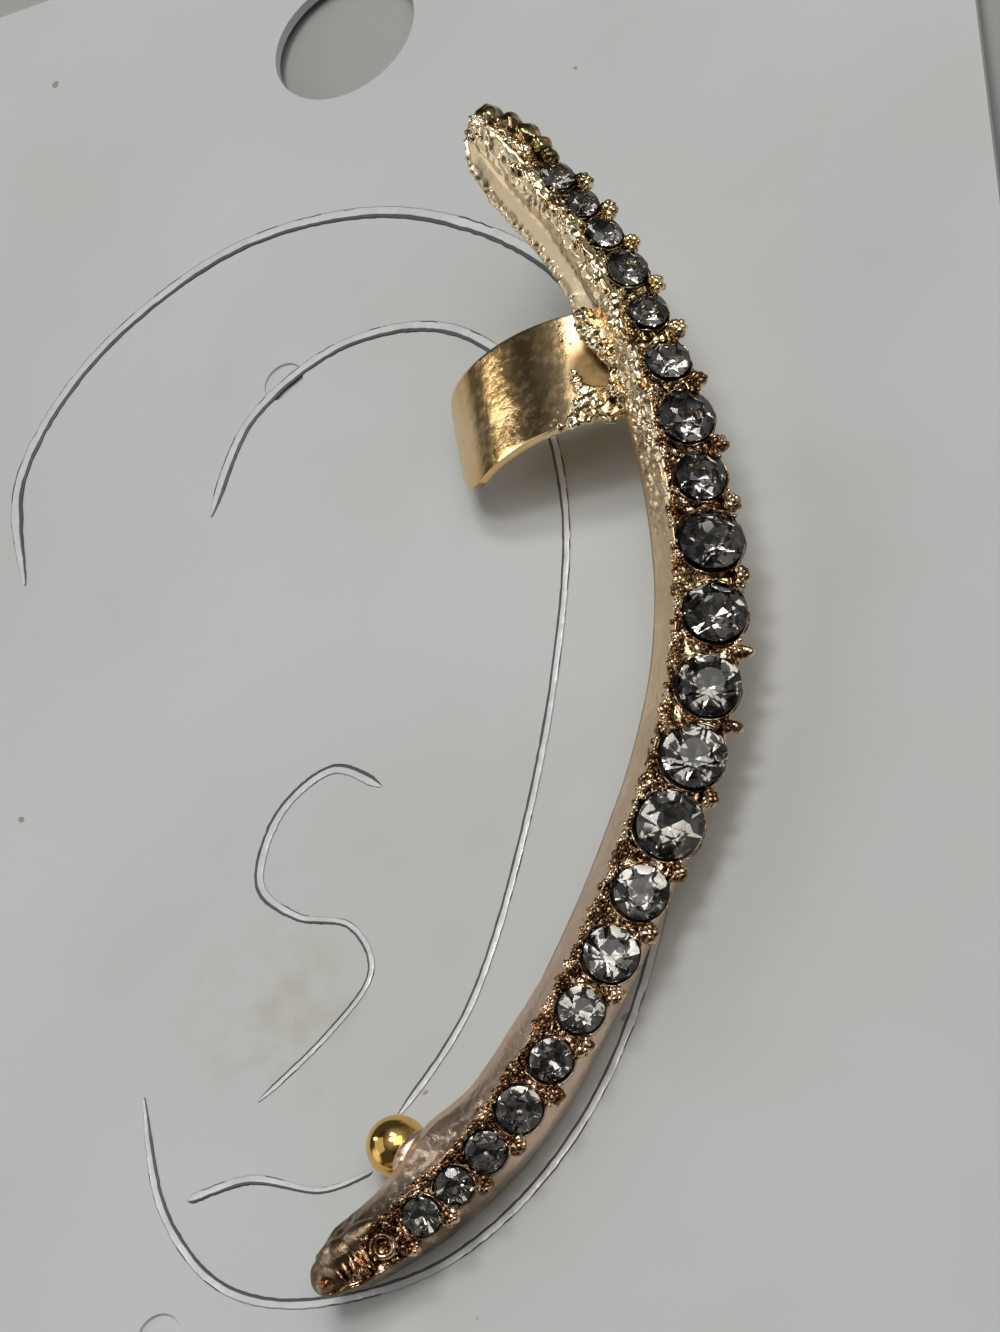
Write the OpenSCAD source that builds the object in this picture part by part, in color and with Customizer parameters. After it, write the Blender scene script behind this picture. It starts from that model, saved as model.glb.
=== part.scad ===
/* [Card] */
// Width of the display card
card_w = 65; // [60:0.5:80]
// Height of the display card
card_h = 96; // [90:0.5:120]
// Thickness of the display card
card_t = 0.5; // [0.3:0.05:1]
// Radius of the card's corners
card_corner_r = 1.2; // [0.5:0.1:4]
// Diameter of the hang hole
hang_hole_d = 8; // [5:0.1:10]
// Distance from the card's top edge to the middle of the hang hole
hang_hole_drop = 9.9; // [7:0.1:13]
// Diameter of the punched post marks
mark_d = 2.1; // [1:0.05:3]
// Depth of the punched post marks
mark_depth = 0.15; // [0.05:0.01:0.25]
// Middle of the upper punched mark, from the card's middle
mark_upper = [-2.9, 17.3]; // [-20:0.1:20]
// Middle of the lower punched mark, from the card's middle
mark_lower = [-7.3, -29.1]; // [-35:0.1:20]

/* [Bar] */
// Top tip of the bar, from the card's middle
bar_start = [12.3, 20.7]; // [0:0.1:25]
// Heading of the bar at its top tip, in degrees from the card's width
bar_heading = -44.5; // [-50:1:-30]
// Degrees that the whole bar turns, seen square to the card
bar_turn = 115.8; // [100:0.5:130]
// Height of the stones' girdles over the card at the lower tip
lift_low = 2.7; // [2.6:0.05:4]
// Height of the stones' girdles over the card at the top tip
lift_top = 9.9; // [7:0.1:12]
// How late the bar starts to rise, as the power of its height curve
lift_power = 3; // [2:0.1:4]
// Half width of the bar's rim at its top tip
tip_half_w = 0.36; // [0.3:0.02:0.44]
// Degrees that the stones lean outwards from the card's normal
bar_roll = 32; // [25:1:40]
// Depth of the bar's walls at the top tip
bar_depth_top = 2.4; // [1.9:0.05:3]
// Depth of the bar's walls at the lower tip
bar_depth_low = 1.85; // [1.7:0.05:2]
// Rim that the bar leaves beside each stone
rim_w = 0.22; // [0.18:0.01:0.5]
// Height of the bar's rim over the girdles
rim_up = 0.12; // [0:0.01:0.3]
// How much wider the bar's back is than its rim, on the inner side near the top tip
flare_top = 0.94; // [0.4:0.02:1.1]
// The same on the inner side below the cuff
flare_mid = 0.56; // [0.2:0.02:0.8]
// The same on the inner side along the lower half
flare_low = 0.76; // [0.4:0.02:0.9]
// The same on the outer side along the upper half
flare_outer = 0.3; // [0.2:0.02:0.6]
// The same on the outer side near the lower tip
flare_outer_low = 0.76; // [0.4:0.02:1.1]
// Bevel along the bar's back edges
back_bevel = 0.3; // [0.1:0.02:0.5]

/* [Stones] */
// Diameter of the largest stone
stone_d = 2.8; // [2.2:0.05:3]
// Metal between the rooms of two stones, as a share of their mean room
stone_gap_share = 0.15; // [0.12:0.01:0.25]
// Distance along the bar from its top tip to the first stone
first_stone = 4.6; // [4.2:0.1:6]
// Clearance round each stone in its seat
seat_clear = 0.04; // [0.02:0.01:0.08]
// Distance along the bar from the last stone to the lower tip
low_tip_len = 4.64; // [4.2:0.02:6]

/* [Prongs and tips] */
// Diameter of the prongs on the outer side
prong_d = 0.52; // [0.4:0.02:0.7]
// Diameter of the bead at the end of each outer prong
prong_bead_d = 0.66; // [0.6:0.02:0.9]
// How far the outer prongs stand past the rim
prong_out = 0.28; // [0.05:0.01:0.4]
// How far the outer prongs stand over the rim
prong_up = 0.3; // [0.1:0.01:0.5]
// Diameter of the beads between the stones on the inner side
bead_d = 0.5; // [0.4:0.02:0.6]
// Diameter of the ball at the top tip
tip_ball_d = 1.2; // [0.9:0.05:1.6]
// Diameter of the empty bead cup near the lower tip
cup_d = 1.15; // [0.9:0.05:1.3]
// Diameter of the cup's hollow
cup_hollow_d = 0.7; // [0.4:0.05:0.8]
// Diameter of the cross ridges at the lower tip
ridge_d = 0.5; // [0.3:0.05:0.6]
// Diameter of the bead at the lower tip
low_bead_d = 0.7; // [0.5:0.05:0.9]

/* [Cuff] */
// Distance along the bar from its top tip to the middle of the cuff band
cuff_at = 13; // [11:0.1:16]
// Width of the cuff band
cuff_w = 5.4; // [4:0.1:7]
// Thickness of the cuff band
cuff_t = 0.4; // [0.35:0.05:0.6]
// Radius of the cuff band's middle surface
cuff_r = 6.85; // [6.4:0.05:7.5]
// Degrees that the band curls from the bar's back to its free end
cuff_wrap = 93; // [80:1:96]
// Degrees that the band laps over the bar's back
cuff_lap = 12; // [8:1:14]
// Degrees that the band is turned on the bar's back
cuff_twist = -10; // [-14:1:0]
// Radius of the free end's lower corner
cuff_corner_low = 2; // [0.5:0.1:2.5]
// Radius of the free end's upper corner
cuff_corner_up = 0.8; // [0.3:0.1:2]
// Thickness of the solder between the band and the bar's back
solder_t = 0.3; // [0.2:0.05:0.6]

/* [Stud and post] */
// Distance along the bar from the stud's solder to the lower tip
stud_from_tip = 7; // [6:0.1:10]
// Distance from the bar's middle line to the middle of the stud ball, seen square to the card
stud_side = 4.04; // [3:0.05:5]
// How far along the bar the stud ball lies past its solder
stud_past = 1.36; // [0:0.02:3]
// Diameter of the stud ball
stud_d = 2.55; // [2.4:0.05:3]
// Clearance between the stud ball and the card
stud_clear = 0.05; // [0.02:0.01:0.1]
// Diameter of the solder neck between the stud ball and the bar
stud_neck_d = 1.3; // [0.9:0.05:1.5]
// Diameter of the ear post
post_d = 0.9; // [0.7:0.05:1]
// How far the ear post stands out of the nut
post_out = 1.6; // [1:0.1:3]
// Clearance round the ear post in the card
post_hole_clear = 0.1; // [0.05:0.01:0.2]

/* [Nut] */
// Diameter of the nut's flange
nut_d = 5.4; // [4:0.1:7]
// Thickness of the nut's flange
nut_flange_t = 0.9; // [0.6:0.1:1.2]
// Diameter of the nut's barrel
nut_barrel_d = 3.4; // [2.6:0.1:3.8]
// Length of the whole nut
nut_len = 3.6; // [3:0.1:5]
// Clearance round the ear post in the nut
nut_clear = 0.04; // [0.02:0.01:0.1]
// Gap between the nut and the back of the card
nut_gap = 0.05; // [0.02:0.01:0.2]

/* [Hidden] */
$fn = 48;

// Share of the whole turn that each equal stretch of the bar takes, from the top tip
bend_shares = [0.255, 0.133, 0.234, 0.094, 0.284];
// Diameter of each stone as a share of the largest, from the top tip
stone_shares = [
    0.55, 0.54, 0.58, 0.65, 0.63, 0.69, 0.88,
    0.80, 1.00, 0.97, 0.96, 0.97, 1.00, 0.80,
    0.82, 0.68, 0.63, 0.67, 0.59, 0.54, 0.55
];
// Room that the casting gives each stone along the bar, as a share of the largest stone
seat_shares = [
    0.55, 0.51, 0.58, 0.65, 0.72, 0.83, 0.90,
    0.84, 1.00, 1.00, 0.98, 0.91, 0.96, 0.87,
    0.82, 0.72, 0.71, 0.70, 0.59, 0.54, 0.53
];
stone_count = len(stone_shares);

// Stones along the bar
function stone_size(i) = stone_d * stone_shares[i];
function mean_room(i) = stone_d * (seat_shares[i] + seat_shares[i + 1]) / 2;
function stone_at(i) = i == 0 ? first_stone : stone_at(i - 1) + mean_room(i - 1) * (1 + stone_gap_share);
stone_places = [for (i = [0 : stone_count - 1]) stone_at(i)];
last_stone = stone_places[stone_count - 1];
bar_length = last_stone + low_tip_len;
end_gap_share = 0.62;
function gap_at(i) = i < 0
    ? first_stone - stone_size(0) * end_gap_share
    : i == stone_count - 1
        ? last_stone + stone_size(i) * end_gap_share
        : (stone_places[i] + stone_places[i + 1] + (stone_size(i) - stone_size(i + 1)) / 2) / 2;
function near_size(i) = stone_size(max(0, min(stone_count - 1, i)));
function smooth_size(i) = (near_size(i - 1) + 2 * near_size(i) + near_size(i + 1)) / 4;

// The bar's curve seen square to the card, as a chain of arcs
stretch = bar_length / len(bend_shares);
function chord(len_arc, turn) = turn == 0 ? len_arc : len_arc * sin(turn / 2) / (turn / 2 * PI / 180);
function arc_step(p, len_arc, turn) = [
    p[0] + chord(len_arc, turn) * cos(p[2] + turn / 2),
    p[1] + chord(len_arc, turn) * sin(p[2] + turn / 2),
    p[2] + turn
];
function arc_start(i) = i == 0
    ? [bar_start[0], bar_start[1], bar_heading]
    : arc_step(arc_start(i - 1), stretch, -bend_shares[i - 1] * bar_turn);
arc_starts = [for (i = [0 : len(bend_shares) - 1]) arc_start(i)];
function arc_index(s) = max(0, min(floor(s / stretch), len(bend_shares) - 1));
function plan(s) =
    let (i = arc_index(s), along = s - i * stretch)
    arc_step(arc_starts[i], along, -bend_shares[i] * bar_turn * along / stretch);

// The stud beside the bar, seen square to the card
stud_solder_at = bar_length - stud_from_tip;
stud_plan = plan(stud_solder_at);
stud_at = [
    stud_plan[0] + stud_past * cos(stud_plan[2]) + stud_side * sin(stud_plan[2]),
    stud_plan[1] + stud_past * sin(stud_plan[2]) - stud_side * cos(stud_plan[2])
];

// The lean of the card, which rests on its top edge and the end of the ear post
behind_card = nut_gap + nut_len + post_out;
post_length = stud_clear + card_t + behind_card;
lean = atan(behind_card / (card_h / 2 - stud_at[1] - post_d / 2));
card_lift = card_h / 2 * sin(lean) + card_t * cos(lean);
card_shift = card_t / 2 * sin(lean);

// The bar's height over the card, and the axes along, across and out of it
function share_up(s) = max(0, 1 - s / bar_length);
function lift(s) = lift_low + (lift_top - lift_low) * pow(share_up(s), lift_power);
function climb(s) = -(lift_top - lift_low) * lift_power * pow(share_up(s), lift_power - 1) / bar_length;
function unit(v) = v / norm(v);
function bar_point(s) = [plan(s)[0], plan(s)[1], lift(s)];
function along_bar(s) = unit([cos(plan(s)[2]), sin(plan(s)[2]), climb(s)]);
function outwards(s) = [-sin(plan(s)[2]), cos(plan(s)[2]), 0];
function upwards(s) = cross(along_bar(s), outwards(s));
function across_bar(s) = outwards(s) * cos(bar_roll) - upwards(s) * sin(bar_roll);
function out_of_bar(s) = upwards(s) * cos(bar_roll) + outwards(s) * sin(bar_roll);

// The bar's half width at its rim, and its depth
half_widths = concat(
    [[0, tip_half_w], [tip_ball_d, 0.56 * tip_ball_d]],
    [for (i = [0 : stone_count - 1]) [stone_places[i], smooth_size(i) / 2 + rim_w]],
    [[bar_length - cup_d, 0.61 * cup_d], [bar_length, 0.26 * cup_d]]
);
function half_w(s) = lookup(s, half_widths);
depths = [
    [0, 0.45 * bar_depth_top],
    [0.8 * tip_ball_d, 0.75 * bar_depth_top],
    [2.4 * tip_ball_d, bar_depth_top],
    [last_stone, bar_depth_low],
    [bar_length - cup_d, 0.85 * bar_depth_low],
    [bar_length, 0.5 * bar_depth_low]
];
function depth(s) = lookup(s, depths);
inner_flares = [
    [0, flare_top],
    [0.17 * bar_length, flare_top],
    [0.25 * bar_length, flare_mid],
    [0.4 * bar_length, flare_mid],
    [0.53 * bar_length, flare_low]
];
outer_flares = [[0.64 * bar_length, flare_outer], [0.8 * bar_length, flare_outer_low]];
function tip_share(s) = min(1, depth(s) / bar_depth_low);
function inner_flare(s) = lookup(s, inner_flares) * tip_share(s);
function outer_flare(s) = lookup(s, outer_flares) * tip_share(s);

// Stone proportions, as shares of the stone's diameter
table_share = 0.56;
crown_share = 0.17;
girdle_share = 0.03;
pavilion_share = 0.42;
star_share = 0.76;
lower_share = 0.62;

// A place on the bar, with X along it, Y across it and Z out of the stones' tables
module on_bar(s) {
    p = bar_point(s);
    a = along_bar(s);
    b = across_bar(s);
    c = out_of_bar(s);
    multmatrix([
        [a[0], b[0], c[0], p[0]],
        [a[1], b[1], c[1], p[1]],
        [a[2], b[2], c[2], p[2]],
        [0, 0, 0, 1]
    ])
        children();
}

// The card's front face as it leans when the card lies down
module on_card() {
    translate([0, card_shift, card_lift])
        rotate([-lean, 0, 0])
            children();
}

// The upright lip under the rim, and how far the back bevel reaches in
lip_h = 0.11 * bar_depth_low;
lip_share = 0.12;
back_bevel_in = 0.7 * back_bevel;

// The bar's section at one place, as corners across and out of it
function section(s) =
    let (a = half_w(s), b = a + inner_flare(s), c = a + outer_flare(s), d = depth(s), low = rim_up - lip_h)
    [
        [-a, rim_up],
        [-a - lip_share * inner_flare(s), low],
        [-b, back_bevel - d],
        [-b + back_bevel_in, -d],
        [c - back_bevel_in, -d],
        [c, back_bevel - d],
        [a + lip_share * outer_flare(s), low],
        [a, rim_up]
    ];

ring_count = 56;
ring_sides = 8;
first_ring = 0.12 * tip_ball_d;
function ring_place(i) = first_ring + (bar_length - first_ring) * i / (ring_count - 1);
function ring_points(s) = [
    for (q = section(s)) bar_point(s) + across_bar(s) * q[0] + out_of_bar(s) * q[1]
];
function ring_corner(i, j) = i * ring_sides + j % ring_sides;

module bar_body() {
    points = [for (i = [0 : ring_count - 1]) each ring_points(ring_place(i))];
    walls = [
        for (i = [0 : ring_count - 2], j = [0 : ring_sides - 1])
            each [
                [ring_corner(i, j), ring_corner(i + 1, j), ring_corner(i + 1, j + 1)],
                [ring_corner(i, j), ring_corner(i + 1, j + 1), ring_corner(i, j + 1)]
            ]
    ];
    near_cap = [for (j = [1 : ring_sides - 2]) [0, j, j + 1]];
    far_cap = [
        for (j = [1 : ring_sides - 2])
            [ring_corner(ring_count - 1, 0), ring_corner(ring_count - 1, j + 1), ring_corner(ring_count - 1, j)]
    ];
    polyhedron(points = points, faces = concat(walls, near_cap, far_cap), convexity = 10);
}

// The hollow that one stone sits in, with the same clearance all round
seat_floor_share = 0.12;
module seat(i) {
    d = stone_size(i);
    wall_r = d / 2 + seat_clear;
    ledge = -(girdle_share * d / 2 + seat_clear);
    bottom = -(girdle_share / 2 + pavilion_share) * d - 2 * seat_clear;
    on_bar(stone_places[i])
        rotate_extrude()
            polygon([
                [0, bottom],
                [seat_floor_share * d, bottom],
                [wall_r, ledge],
                [wall_r, stone_d],
                [0, stone_d]
            ]);
}

// One outer prong with its bead, and the bead on the inner side
prong_lean = 45;
prong_length = 1.6 * prong_d;
inner_bead_in = 0.1 * bead_d;
module prong(i) {
    s = gap_at(i);
    reach = half_w(s) + prong_out - prong_bead_d / 2;
    on_bar(s) {
        if (i >= 0)
            translate([0, reach, rim_up + prong_up - prong_bead_d / 2]) {
                sphere(d = prong_bead_d);
                rotate([180 - prong_lean, 0, 0])
                    cylinder(d = prong_d, h = prong_length);
            }
        translate([0, inner_bead_in - half_w(s), rim_up])
            sphere(d = bead_d);
    }
}

// The three lumps at the top tip, as shares of its ball: place along, across and out, and diameter
tip_lumps = [
    [0.15, 0, -0.1, 1],
    [1.2, 0.08, 0, 1.04],
    [2.1, 0.16, 0.1, 0.8]
];

module top_tip() {
    for (lump = tip_lumps)
        on_bar(lump[0] * tip_ball_d)
            translate([0, lump[1] * tip_ball_d, lump[2] * tip_ball_d])
                sphere(d = lump[3] * tip_ball_d);
}

// The empty bead cup, the cross ridges and the bead at the lower tip
cup_at = last_stone + stone_size(stone_count - 1) / 2 + 0.75 * cup_d;
cup_up = rim_up + 0.25 * cup_d;
ridge_count = 3;
ridge_step = 0.75 * ridge_d;
ridge_start = cup_at + 0.62 * cup_d + 0.5 * ridge_step;
ridge_len = 0.7 * cup_d;
low_bead_at = bar_length - 0.35 * low_bead_d;

module low_tip() {
    on_bar(cup_at)
        difference() {
            cylinder(d = cup_d, h = cup_up);
            translate([0, 0, rim_up])
                cylinder(d = cup_hollow_d, h = cup_d);
        }
    for (i = [0 : ridge_count - 1])
        on_bar(ridge_start + i * ridge_step)
            translate([0, -ridge_len / 2, rim_up - 0.3 * ridge_d])
                rotate([-90, 0, 0])
                    cylinder(d = ridge_d, h = ridge_len);
    on_bar(low_bead_at)
        translate([0, 0, -0.3 * low_bead_d])
            sphere(d = low_bead_d);
}

// A cutter that rounds one corner of the band's free end, over the band's full thickness
module corner_cutter(r) {
    difference() {
        translate([-r, -r, -3 * cuff_t])
            cube([2 * r, 2 * r, 6 * cuff_t]);
        translate([-r, r, -4 * cuff_t])
            cylinder(r = r, h = 8 * cuff_t);
    }
}

// The cuff band, curled from the bar's back, with its axis along the bar
module cuff_band() {
    axis_drop = depth(cuff_at) + cuff_r + (cuff_t + solder_t) / 2;
    end_turn = cuff_wrap + cuff_lap;
    on_bar(cuff_at)
        rotate([0, 0, cuff_twist])
            translate([0, 0, -axis_drop])
                difference() {
                    rotate([90 - cuff_lap, 0, 0])
                        rotate([0, 90, 0])
                            rotate([0, 0, 90])
                                translate([0, 0, -cuff_w / 2])
                                    rotate_extrude(angle = end_turn, $fn = 96)
                                        translate([cuff_r - cuff_t / 2, 0])
                                            square([cuff_t, cuff_w]);
                    rotate([cuff_wrap, 0, 0])
                        translate([cuff_w / 2, 0, cuff_r])
                            corner_cutter(cuff_corner_low);
                    rotate([cuff_wrap, 0, 0])
                        translate([-cuff_w / 2, 0, cuff_r])
                            mirror([1, 0, 0])
                                corner_cutter(cuff_corner_up);
                }
}

// The solder that joins the band to the bar's back, as shares of the band's width and the rim's half width
solder_share = 0.84;
solder_sides = [-0.54, 0.38];
solder_bead_d = 1.7 * solder_t;

module cuff_solder() {
    reach = solder_share * cuff_w / 2;
    on_bar(cuff_at)
        rotate([0, 0, cuff_twist])
            translate([0, 0, -depth(cuff_at) - solder_t / 4])
                hull()
                    for (x = [-reach, 0, reach], y = solder_sides)
                        translate([x, y * half_w(cuff_at), x == 0 ? -solder_t / 3 : 0])
                            sphere(d = solder_bead_d, $fn = 20);
}

// The stud ball with its post, and the solder neck that joins it to the bar's inner wall
neck_down_share = 0.7;
neck_flare_share = 0.5;

module stud() {
    ball_z = stud_clear + stud_d / 2;
    back = bar_point(stud_solder_at)
        - across_bar(stud_solder_at) * (half_w(stud_solder_at) + neck_flare_share * flare_low)
        - out_of_bar(stud_solder_at) * neck_down_share * depth(stud_solder_at);
    ball = [stud_at[0], stud_at[1], ball_z];
    span = back - ball;
    translate(ball)
        sphere(d = stud_d);
    translate([stud_at[0], stud_at[1], ball_z - post_length - stud_d / 2])
        cylinder(d = post_d, h = post_length + stud_d / 2);
    translate(ball)
        rotate([0, acos(span[2] / norm(span)), atan2(span[1], span[0])])
            cylinder(d = stud_neck_d, h = norm(span));
}

module climber_frame() {
    color("goldenrod")
        on_card() {
            difference() {
                union() {
                    bar_body();
                    for (i = [-1 : stone_count - 1])
                        prong(i);
                    top_tip();
                    low_tip();
                    cuff_solder();
                    stud();
                }
                for (i = [0 : stone_count - 1])
                    seat(i);
            }
            cuff_band();
        }
}

// A round stone with a table, 8 star and 8 kite facets, 16 girdle facets and 8 pavilion facets
module stone(i) {
    r = stone_size(i) / 2;
    half_girdle = girdle_share * r;
    table_r = table_share * r;
    table_z = half_girdle + 2 * crown_share * r;
    culet_z = -half_girdle - 2 * pavilion_share * r;
    star_r = star_share * r;
    star_z = half_girdle + (table_z - half_girdle) * (r - star_r * cos(22.5)) / (r - table_r);
    lower_r = lower_share * r;
    lower_z = -half_girdle + (culet_z + half_girdle) * (r - lower_r * cos(22.5)) / r;
    points = concat(
        [for (k = [0 : 7]) [table_r * cos(45 * k), table_r * sin(45 * k), table_z]],
        [for (k = [0 : 7]) [star_r * cos(45 * k + 22.5), star_r * sin(45 * k + 22.5), star_z]],
        [for (k = [0 : 15]) [r * cos(22.5 * k), r * sin(22.5 * k), half_girdle]],
        [for (k = [0 : 15]) [r * cos(22.5 * k), r * sin(22.5 * k), -half_girdle]],
        [for (k = [0 : 7]) [lower_r * cos(45 * k + 22.5), lower_r * sin(45 * k + 22.5), lower_z]],
        [[0, 0, culet_z]]
    );
    table_face = [for (k = [1 : 6]) [0, k + 1, k]];
    crown = [
        for (k = [0 : 7])
            let (n = (k + 1) % 8, p = (k + 7) % 8)
            each [
                [k, n, 8 + k],
                [k, 8 + k, 16 + 2 * k],
                [k, 16 + 2 * k, 8 + p],
                [8 + k, 17 + 2 * k, 16 + 2 * k],
                [8 + k, 16 + 2 * n, 17 + 2 * k]
            ]
    ];
    girdle = [
        for (k = [0 : 15])
            let (n = (k + 1) % 16)
            each [[16 + k, 16 + n, 32 + n], [16 + k, 32 + n, 32 + k]]
    ];
    pavilion = [
        for (k = [0 : 7])
            let (n = (k + 1) % 8, p = (k + 7) % 8)
            each [
                [48 + k, 32 + 2 * k, 33 + 2 * k],
                [48 + k, 33 + 2 * k, 32 + 2 * n],
                [56, 32 + 2 * k, 48 + k],
                [56, 48 + p, 32 + 2 * k]
            ]
    ];
    color("dimgray")
        on_card()
            on_bar(stone_places[i])
                polyhedron(points = points, faces = concat(table_face, crown, girdle, pavilion), convexity = 4);
}

module ear_nut() {
    bore_r = post_d / 2 + nut_clear;
    color("gold")
        on_card()
            translate([stud_at[0], stud_at[1], -card_t - nut_gap])
                rotate([180, 0, 0])
                    difference() {
                        union() {
                            cylinder(d = nut_d, h = nut_flange_t);
                            cylinder(d = nut_barrel_d, h = nut_len);
                        }
                        translate([0, 0, -nut_len])
                            cylinder(r = bore_r, h = 3 * nut_len);
                    }
}

module card_outline() {
    x = card_w / 2 - card_corner_r;
    y = card_h / 2 - card_corner_r;
    square([2 * x, card_h], center = true);
    square([card_w, 2 * y], center = true);
    for (a = [-x, x], b = [-y, y])
        translate([a, b])
            circle(r = card_corner_r);
}

module display_card() {
    color("whitesmoke")
        on_card()
            difference() {
                translate([0, 0, -card_t])
                    linear_extrude(card_t)
                        card_outline();
                translate([0, card_h / 2 - hang_hole_drop, -2 * card_t])
                    cylinder(d = hang_hole_d, h = 3 * card_t);
                translate([stud_at[0], stud_at[1], -2 * card_t])
                    cylinder(d = post_d + 2 * post_hole_clear, h = 3 * card_t);
                for (m = [mark_upper, mark_lower])
                    translate([m[0], m[1], -mark_depth])
                        cylinder(d = mark_d, h = card_t);
            }
}

climber_frame();
stone(0);  // stone_01
stone(1);  // stone_02
stone(2);  // stone_03
stone(3);  // stone_04
stone(4);  // stone_05
stone(5);  // stone_06
stone(6);  // stone_07
stone(7);  // stone_08
stone(8);  // stone_09
stone(9);  // stone_10
stone(10);  // stone_11
stone(11);  // stone_12
stone(12);  // stone_13
stone(13);  // stone_14
stone(14);  // stone_15
stone(15);  // stone_16
stone(16);  // stone_17
stone(17);  // stone_18
stone(18);  // stone_19
stone(19);  // stone_20
stone(20);  // stone_21
ear_nut();
display_card();
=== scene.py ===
import math
import random

import bmesh
import bpy
from mathutils import Matrix, Vector, noise


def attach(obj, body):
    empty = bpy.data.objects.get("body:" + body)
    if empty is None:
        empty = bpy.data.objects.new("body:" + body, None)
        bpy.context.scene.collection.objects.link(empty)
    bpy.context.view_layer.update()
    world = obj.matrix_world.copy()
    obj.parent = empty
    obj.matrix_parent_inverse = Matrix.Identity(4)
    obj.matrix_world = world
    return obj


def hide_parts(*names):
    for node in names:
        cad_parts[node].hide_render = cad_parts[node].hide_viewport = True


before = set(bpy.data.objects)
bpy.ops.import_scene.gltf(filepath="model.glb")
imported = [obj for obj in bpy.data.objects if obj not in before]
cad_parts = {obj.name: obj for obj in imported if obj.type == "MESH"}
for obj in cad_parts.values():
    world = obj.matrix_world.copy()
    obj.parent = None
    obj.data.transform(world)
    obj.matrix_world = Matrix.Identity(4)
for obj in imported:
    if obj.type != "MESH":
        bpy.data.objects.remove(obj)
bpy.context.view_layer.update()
print("frame loaded")

mm = 0.001

# Places that the pieces share, in millimetres on the card's front face

cardPlan = {
    "width": 65,
    "height": 96,
    "thickness": 0.5,
    "behind": 5.25,  # nut and free post end behind the card
    "stud": Vector((4.2, -23.3, 0)),
    "postRadius": 0.45,
}

barPlan = {
    "start": (12.3, 20.7, -44.5),  # top tip and its heading
    "length": 58.7314,
    "turn": 115.8,
    "bends": (0.255, 0.133, 0.234, 0.094, 0.284),
    "liftLow": 2.7,
    "liftTop": 9.9,
    "roll": math.radians(32),
    "depthTop": 2.4,
    "depthLow": 1.85,
    "rim": 0.22,
    "rimUp": 0.12,
    "tipHalfWidth": 0.36,
    "tipBall": 1.2,
    "cup": 1.15,
    "innerFlare": ((0, 0.94), (0.17, 0.94), (0.25, 0.56), (0.4, 0.56), (0.53, 0.76), (1, 0.76)),
    "outerFlare": ((0, -0.35), (0.62, -0.35), (0.7, 0.0), (0.8, 0.5), (1, 0.42)),
    "firstStone": 4.6,
    "stoneSize": 2.8,  # the largest; the shares are of it, from the top tip down
    "stoneShares": (0.55, 0.54, 0.58, 0.65, 0.63, 0.69, 0.88, 0.80, 1.00, 0.97, 0.96,
                    0.97, 1.00, 0.80, 0.82, 0.68, 0.63, 0.67, 0.59, 0.54, 0.55),
    "seatShares": (0.55, 0.51, 0.58, 0.65, 0.72, 0.83, 0.90, 0.84, 1.00, 1.00, 0.98,
                   0.91, 0.96, 0.87, 0.82, 0.72, 0.71, 0.70, 0.59, 0.54, 0.53),
    "stoneStep": 1.15,
    "endGap": 0.62,  # of the end stones' sizes, to the prongs beyond them
}

cardHalf = cardPlan["height"] / 2
cardLean = math.atan(cardPlan["behind"] / (cardHalf - cardPlan["stud"].y - cardPlan["postRadius"]))
cardLift = cardHalf * math.sin(cardLean) + cardPlan["thickness"] * math.cos(cardLean)
cardShift = cardPlan["thickness"] / 2 * math.sin(cardLean)
cardToRow = Matrix.Scale(mm, 4) @ Matrix.Translation((0, cardShift, cardLift))
cardToRow = cardToRow @ Matrix.Rotation(-cardLean, 4, "X")


def between(table, x):
    for (x0, y0), (x1, y1) in zip(table, table[1:]):
        if x <= x1:
            return y0 + (y1 - y0) * max(0, x - x0) / (x1 - x0)
    return table[-1][1]


def smooth(low, high, x):
    share = min(1, max(0, (x - low) / (high - low)))
    return share * share * (3 - 2 * share)


def bell(middle, width, x):
    return math.exp(-((x - middle) / width) ** 2)


def ridged(point, scale):
    return 1 - 2 * abs(noise.noise(point * scale))


def arcStep(place, length, turn):
    half = math.radians(turn / 2)
    chord = length if turn == 0 else length * math.sin(half) / half
    angle = math.radians(place[2] + turn / 2)
    return place[0] + chord * math.cos(angle), place[1] + chord * math.sin(angle), place[2] + turn


stretch = barPlan["length"] / len(barPlan["bends"])
arcStarts = [barPlan["start"]]
for bend in barPlan["bends"][:-1]:
    arcStarts.append(arcStep(arcStarts[-1], stretch, -bend * barPlan["turn"]))


def barPlace(s):  # the bar's own axes at s: X along it, Y across it, Z out of the stones' tables
    index = max(0, min(int(s // stretch), len(arcStarts) - 1))
    past = s - index * stretch
    turned = -barPlan["bends"][index] * barPlan["turn"] * past / stretch
    x, y, heading = arcStep(arcStarts[index], past, turned)
    heading = math.radians(heading)
    left = max(0, 1 - s / barPlan["length"])
    rise = barPlan["liftTop"] - barPlan["liftLow"]
    slope = -3 * rise * left**2 / barPlan["length"]
    along = Vector((math.cos(heading), math.sin(heading), slope)).normalized()
    outwards = Vector((-math.sin(heading), math.cos(heading), 0))
    upwards = along.cross(outwards)
    across = outwards * math.cos(barPlan["roll"]) - upwards * math.sin(barPlan["roll"])
    out = upwards * math.cos(barPlan["roll"]) + outwards * math.sin(barPlan["roll"])
    place = Matrix((along, across, out)).transposed().to_4x4()
    place.translation = (x, y, barPlan["liftLow"] + rise * left**3)
    return place


stoneSizes = [barPlan["stoneSize"] * share for share in barPlan["stoneShares"]]
stonePlaces = [barPlan["firstStone"]]
seatRooms = [barPlan["stoneSize"] * share for share in barPlan["seatShares"]]
for one, other in zip(seatRooms, seatRooms[1:]):
    stonePlaces.append(stonePlaces[-1] + (one + other) / 2 * barPlan["stoneStep"])
stoneCount = len(stoneSizes)


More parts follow.
